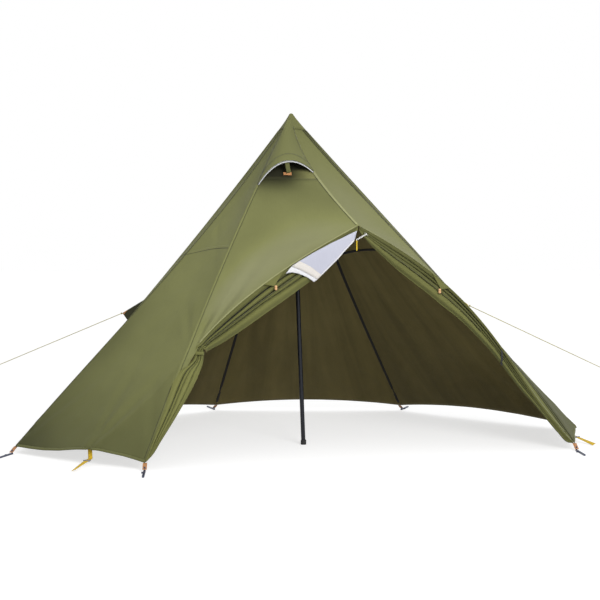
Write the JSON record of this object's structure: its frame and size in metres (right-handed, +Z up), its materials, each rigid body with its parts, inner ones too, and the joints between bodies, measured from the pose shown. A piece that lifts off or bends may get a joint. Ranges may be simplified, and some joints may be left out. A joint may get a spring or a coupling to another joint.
{
  "type": "teepee tent",
  "caption": "Single-pole teepee tent with an eight-sided canopy, a zipped front door tied back open, a propped roof vent, peg loops and side guylines.",
  "frame": {"origin": "centre of the pole's foot, on the ground", "axes": "+X to the right along the front, +Y towards the back, +Z up"},
  "size_m": [4.1694, 2.8149, 2],
  "materials": {
    "canopy": "matt coated polycotton",
    "mesh": "fine insect netting",
    "seam_tape": "matt",
    "black_webbing": "woven",
    "yellow_webbing": "woven",
    "tan_webbing": "woven",
    "cord": "braided",
    "pole": "satin powder coat",
    "rubber": "matt",
    "black_plastic": "matt",
    "grey_plastic": "satin",
    "white_stiffener": "satin",
    "tan_toggle": "matt",
    "zip_tape": "woven",
    "slider_metal": "satin nickel",
    "peg": "satin"
  },
  "bodies": {
    "tent": {"corner_loops": "tan_webbing", "door_flap_left": "canopy", "door_flap_right": "canopy", "door_mesh_flap": "mesh", "guy_knot_left": "cord", "guy_knot_right": "cord", "guy_loop_left": "cord", "guy_loop_right": "cord", "guyline_left": "cord", "guyline_right": "cord", "peak_cap": "canopy", "pegs": "peg", "pole_foot": "rubber", "pole_section_1": "pole", "pole_section_2": "pole", "pole_section_3": "pole", "pole_section_4": "pole", "pole_spigots": "pole", "pole_tip": "black_plastic", "pullout_flap_left": "canopy", "pullout_flap_right": "canopy", "seam_tape_back_left": "seam_tape", "seam_tape_back_right": "seam_tape", "seam_tape_left": "seam_tape", "seam_tape_right": "seam_tape", "side_buckle_left": "grey_plastic", "side_buckle_right": "grey_plastic", "side_strap_left": "yellow_webbing", "side_strap_right": "yellow_webbing", "tie_back_left": "canopy", "tie_back_right": "black_webbing", "toggle_tab_left": "canopy", "toggle_tab_right": "canopy", "vent_hood": "canopy", "vent_mesh": "mesh", "vent_tab": "tan_webbing", "wall_back": "canopy", "wall_back_left": "canopy", "wall_back_right": "canopy", "wall_front": "canopy", "wall_front_left": "canopy", "wall_front_peak": "canopy", "wall_front_right": "canopy", "wall_left": "canopy", "wall_right": "canopy", "zip_track_left": "zip_tape", "zip_track_right": "zip_tape"},
    "brim": {"vent_brim": "white_stiffener"},
    "prop": {"vent_prop": "canopy"},
    "slider": {"zip_slider": "slider_metal"},
    "pull_link": {"zip_pull_link": "slider_metal", "zip_pull_cord": "yellow_webbing"},
    "toggle_left": {"toggle_left": "tan_toggle"},
    "toggle_right": {"toggle_right": "tan_toggle"},
    "webbing_left": {"side_webbing_left": "yellow_webbing"},
    "webbing_right": {"side_webbing_right": "yellow_webbing"},
    "runner_left": {"guy_runner_left": "black_plastic"},
    "runner_right": {"guy_runner_right": "black_plastic"}
  },
  "joints": [
    {"name": "vent_brim_fold", "type": "hinge", "parent": "tent", "child": "brim", "pos_m": [-0.26971, -0.22043, 1.562], "axis": [0.94, 0.2549, 0.2268], "range_deg": [-50, 0], "deforming": ["vent_hood"]},
    {"name": "vent_prop_fold", "type": "hinge", "parent": "tent", "child": "prop", "pos_m": [-0.09434, -0.16642, 1.63077], "axis": [0.94, 0.2549, 0.2268], "range_deg": [-66, 0]},
    {"name": "zip_slider_slide", "type": "slide", "parent": "tent", "child": "slider", "axis": [0.7682, 0.0967, -0.6329], "range_m": [0, 0.15]},
    {"name": "zip_pull_swing", "type": "hinge", "parent": "slider", "child": "pull_link", "pos_m": [0.35843, -0.37077, 1.27087], "axis": [0, 1, 0], "range_deg": [-35, 0]},
    {"name": "toggle_left_swing", "type": "hinge", "parent": "tent", "child": "toggle_left", "pos_m": [-0.15589, -0.51397, 0.981], "axis": [-0.9605, -0.2784, 0], "range_deg": [0, 75]},
    {"name": "toggle_right_swing", "type": "hinge", "parent": "tent", "child": "toggle_right", "pos_m": [0.78672, -0.3179, 0.956], "axis": [-0.9922, -0.1249, 0], "range_deg": [0, 75]},
    {"name": "side_webbing_left_slide", "type": "slide", "parent": "tent", "child": "webbing_left", "axis": [-0.2455, -0.9604, -0.1316], "range_m": [-0.02, 0.02]},
    {"name": "side_webbing_right_slide", "type": "slide", "parent": "tent", "child": "webbing_right", "axis": [0.4249, -0.8952, -0.1342], "range_m": [-0.02, 0.02]},
    {"name": "guy_runner_left_slide", "type": "slide", "parent": "tent", "child": "runner_left", "axis": [-0.864, 0.3532, -0.3588], "range_m": [-0.3, 0]},
    {"name": "guy_runner_right_slide", "type": "slide", "parent": "tent", "child": "runner_right", "axis": [0.8508, 0.3491, -0.3927], "range_m": [-0.3, 0]}
  ],
  "couplings": [
    {"joint": "vent_prop_fold", "follows": "vent_brim_fold", "ratio": 1.3}
  ]
}
